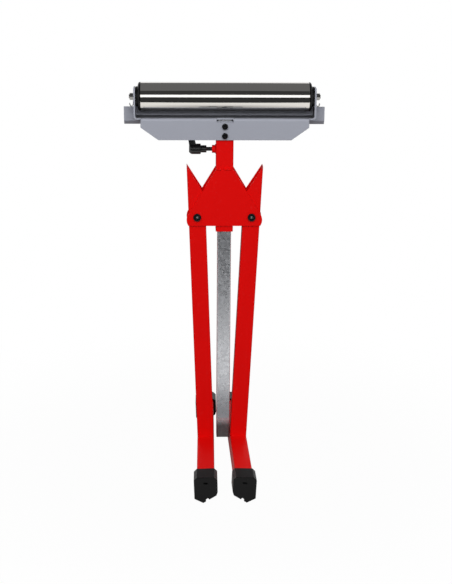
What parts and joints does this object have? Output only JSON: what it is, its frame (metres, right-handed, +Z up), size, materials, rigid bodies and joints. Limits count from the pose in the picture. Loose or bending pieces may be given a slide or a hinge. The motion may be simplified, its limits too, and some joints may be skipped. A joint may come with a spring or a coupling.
{
  "type": "folding roller stand",
  "caption": "Folding work-support stand: a steel roller in a sheet cradle on a clamped sliding post, with T-shaped legs that hinge between gusset plates and stand on moulded boots.",
  "frame": {"origin": "on the floor, under the middle of the stand's box, which is under the post", "axes": "+Z up along the post, X along the roller with the clamp lever on the -X side, front of the stand towards -Y"},
  "size_m": [0.403, 0.4478, 0.8065],
  "materials": {
    "red_paint": "glossy powder coat",
    "grey_paint": "satin silver-grey powder coat",
    "galvanised": "zinc-coated with a faint spangle",
    "roller_steel": "bright ground and plated",
    "bare_steel": "zinc plated",
    "black_plastic": "fine-grained moulding",
    "black_screw": "black oxide",
    "brass": "turned",
    "nylon": "natural moulding"
  },
  "bodies": {
    "stand_frame": {"outer_tube": "red_paint", "guide_bush_top": "nylon", "guide_bush_bottom": "nylon", "front_plate": "red_paint", "rear_plate": "red_paint", "clamp_boss": "red_paint", "pivot_screw_left": "black_screw", "pivot_screw_right": "black_screw", "pivot_washer_left": "bare_steel", "pivot_washer_right": "bare_steel", "pivot_nut_left": "bare_steel", "pivot_nut_right": "bare_steel", "pivot_sleeve_left": "bare_steel", "pivot_sleeve_right": "bare_steel"},
    "post": {"inner_tube": "galvanised", "inner_tube_plug": "black_plastic", "post_sleeve": "grey_paint", "roller_cradle": "grey_paint", "rear_rail": "grey_paint", "rail_rivet_left": "bare_steel", "rail_rivet_right": "bare_steel", "head_screw_upper": "black_screw", "head_screw_lower": "black_screw", "head_nut_upper": "bare_steel", "head_nut_lower": "bare_steel", "axle": "bare_steel", "axle_spacer_left": "bare_steel", "axle_spacer_right": "bare_steel", "axle_nut_left": "bare_steel", "axle_nut_right": "bare_steel", "bearing_inner_ring_left": "bare_steel", "bearing_inner_ring_right": "bare_steel"},
    "roller": {"roller_tube": "roller_steel", "roller_cap_left": "black_plastic", "roller_cap_right": "black_plastic", "bearing_outer_ring_left": "bare_steel", "bearing_outer_ring_right": "bare_steel", "bearing_balls_left": "bare_steel", "bearing_balls_right": "bare_steel"},
    "clamp_screw": {"clamp_stud": "black_screw", "clamp_pad": "brass", "lever_screw": "bare_steel", "lever_spring": "bare_steel"},
    "lever": {"lever_handle": "black_plastic"},
    "leg_left": {"leg_left": "red_paint", "foot_bar_left": "red_paint", "boot_front_left": "black_plastic", "boot_rear_left": "black_plastic"},
    "leg_right": {"leg_right": "red_paint", "foot_bar_right": "red_paint", "boot_front_right": "black_plastic", "boot_rear_right": "black_plastic"}
  },
  "joints": [
    {"name": "post_height", "type": "slide", "parent": "stand_frame", "child": "post", "axis": [0, 0, 1], "range_m": [0, 0.4]},
    {"name": "roller_spin", "type": "hinge", "parent": "post", "child": "roller", "pos_m": [0, 0, 0.77799], "axis": [1, 0, 0], "continuous": true},
    {"name": "leg_left_fold", "type": "hinge", "parent": "stand_frame", "child": "leg_left", "pos_m": [-0.055, 0, 0.53719], "axis": [0, 1, 0], "range_deg": [-0.5, 32.3]},
    {"name": "leg_right_fold", "type": "hinge", "parent": "stand_frame", "child": "leg_right", "pos_m": [0.055, 0, 0.53719], "axis": [0, -1, 0], "range_deg": [0, 32.85]},
    {"name": "clamp_turn", "type": "hinge", "parent": "stand_frame", "child": "clamp_screw", "pos_m": [-0.04, 0, 0.67329], "axis": [1, 0, 0], "range_deg": [-15, 15]},
    {"name": "lever_pull", "type": "slide", "parent": "clamp_screw", "child": "lever", "axis": [-1, 0, 0], "range_m": [0, 0.005], "stiffness_N_per_m": 800, "springref_m": -0.003, "deforming": ["lever_spring"]}
  ]
}
